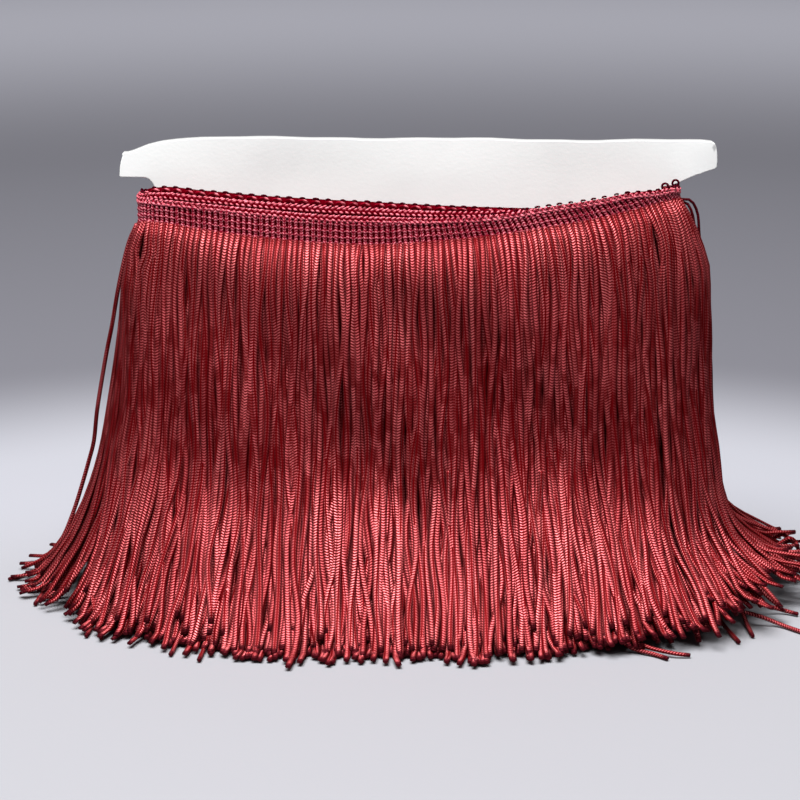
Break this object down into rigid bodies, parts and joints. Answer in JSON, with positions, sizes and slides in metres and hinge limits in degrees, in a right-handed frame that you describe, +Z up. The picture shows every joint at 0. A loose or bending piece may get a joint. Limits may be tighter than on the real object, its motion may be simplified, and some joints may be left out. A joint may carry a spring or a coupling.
{
  "type": "roll of spaghetti fringe on a card",
  "caption": "Knitted heading tape wound round the neck of an upright card, with long looped-stitch strands that hang from it, flare out and rest on the surface.",
  "frame": {"origin": "on the surface that the roll stands on, under the middle of its outline", "axes": "+X along the card, to the right as seen from the front; +Y to the back; +Z up"},
  "size_m": [0.2802, 0.1476, 0.1564],
  "materials": {
    "card_board": "white coated card, matt, with a paler cut edge",
    "tape_yarn": "warp-knitted crimson yarn, slightly shiny",
    "strand_yarn": "crimson chainette strands, silky, with dark cut tips"
  },
  "bodies": {
    "root": {"card": "card_board", "wound_tape": "tape_yarn", "fringe_outer_front": "strand_yarn", "fringe_outer_right": "strand_yarn", "fringe_outer_back": "strand_yarn", "fringe_outer_left": "strand_yarn", "fringe_inner_front": "strand_yarn", "fringe_inner_right": "strand_yarn", "fringe_inner_back": "strand_yarn", "fringe_inner_left": "strand_yarn"}
  },
  "joints": []
}
